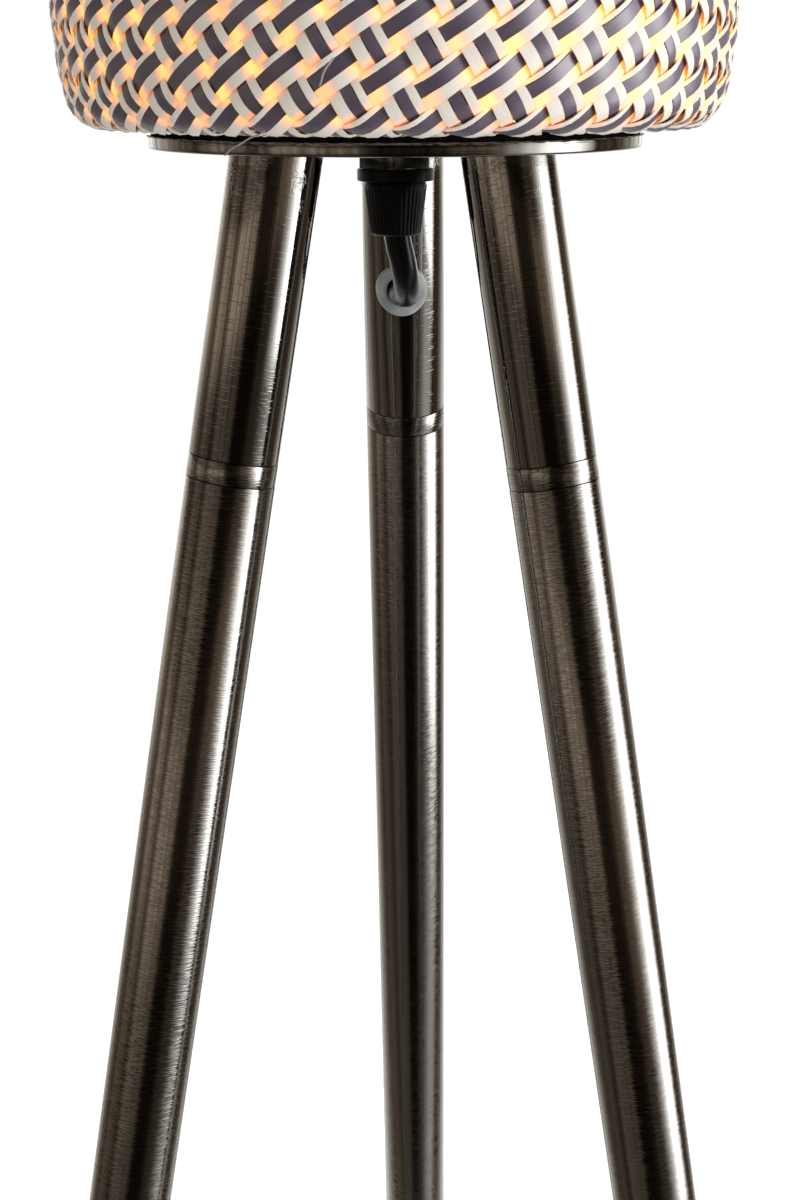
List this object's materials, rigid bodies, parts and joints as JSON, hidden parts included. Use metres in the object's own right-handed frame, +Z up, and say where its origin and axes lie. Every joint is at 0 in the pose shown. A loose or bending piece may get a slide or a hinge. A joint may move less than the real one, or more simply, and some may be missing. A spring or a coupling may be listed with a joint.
{
  "type": "floor lamp",
  "caption": "Tripod floor lamp: a tall drum shade woven from flat split strips stands on a round metal plate with splayed tube legs, with a lead and a foot switch.",
  "frame": {"origin": "on the floor, at the middle of the tripod's footprint", "axes": "+Z up; the rear leg, which holds the lead, splays towards +Y; the other two legs splay to both sides of -Y"},
  "size_m": [0.3914, 0.566, 1.2892],
  "materials": {
    "nickel": "dark brushed nickel, satin",
    "polished_nickel": "dark brushed nickel, glossier than the tubes",
    "steel": "plain steel, satin",
    "brass": "bright brass",
    "black_plastic": "black moulded plastic, satin",
    "grey_rubber": "grey rubber, matt",
    "black_rubber": "black rubber, matt",
    "lead": "dark grey flexible sheath with a soft sheen",
    "core": "brown core insulation",
    "ceramic": "white glazed",
    "strips": "flat split strips, cream and dark in turn, satin",
    "wire": "cream painted wire",
    "lit_glass": "warm white opal glass, lit"
  },
  "bodies": {
    "lamp": {"plate": "nickel", "leg_stub_rear": "polished_nickel", "leg_connector_rear": "nickel", "leg_tube_upper_rear": "nickel", "leg_coupling_rear": "nickel", "leg_tube_lower_rear": "nickel", "leg_foot_rear": "black_rubber", "leg_stub_left": "polished_nickel", "leg_connector_left": "nickel", "leg_tube_upper_left": "nickel", "leg_coupling_left": "nickel", "leg_tube_lower_left": "nickel", "leg_foot_left": "black_rubber", "leg_stub_right": "polished_nickel", "leg_connector_right": "nickel", "leg_tube_upper_right": "nickel", "leg_coupling_right": "nickel", "leg_tube_lower_right": "nickel", "leg_foot_right": "black_rubber", "cord_grommet": "grey_rubber", "lead_boot": "black_rubber", "hex_nut": "steel", "grip_base": "black_plastic", "grip_cap": "black_plastic", "threaded_nipple": "steel", "plate_washer": "steel", "holder_base": "black_plastic", "holder_insert": "ceramic", "holder_thread_shell": "brass", "holder_contact": "brass", "holder_sleeve": "black_plastic", "shade_clamp_ring": "black_plastic", "bulb_cap": "steel", "bulb_glass": "lit_glass", "shade_weave": "strips", "shade_ring_lower": "wire", "shade_ring_upper": "wire", "shade_spider": "wire", "shade_upright_rear": "wire", "shade_upright_left": "wire", "shade_upright_right": "wire", "lead_held": "lead", "lead_core_1": "core", "lead_core_2": "core", "lead_tail": "lead", "lead_link": "lead", "lead_end": "lead", "lead_coil": "lead", "coil_tie": "black_plastic", "switch_base": "black_plastic", "switch_screw_1": "steel", "switch_screw_2": "steel", "switch_cover": "black_plastic", "plug_body": "black_plastic", "plug_pin_1": "steel", "plug_pin_2": "steel"},
    "button": {"switch_button": "grey_rubber"}
  },
  "joints": [
    {"name": "switch_press", "type": "slide", "parent": "lamp", "child": "button", "axis": [0, 0, -1], "range_m": [0, 0.003], "stiffness_N_per_m": 1500, "springref_m": -0.002}
  ]
}
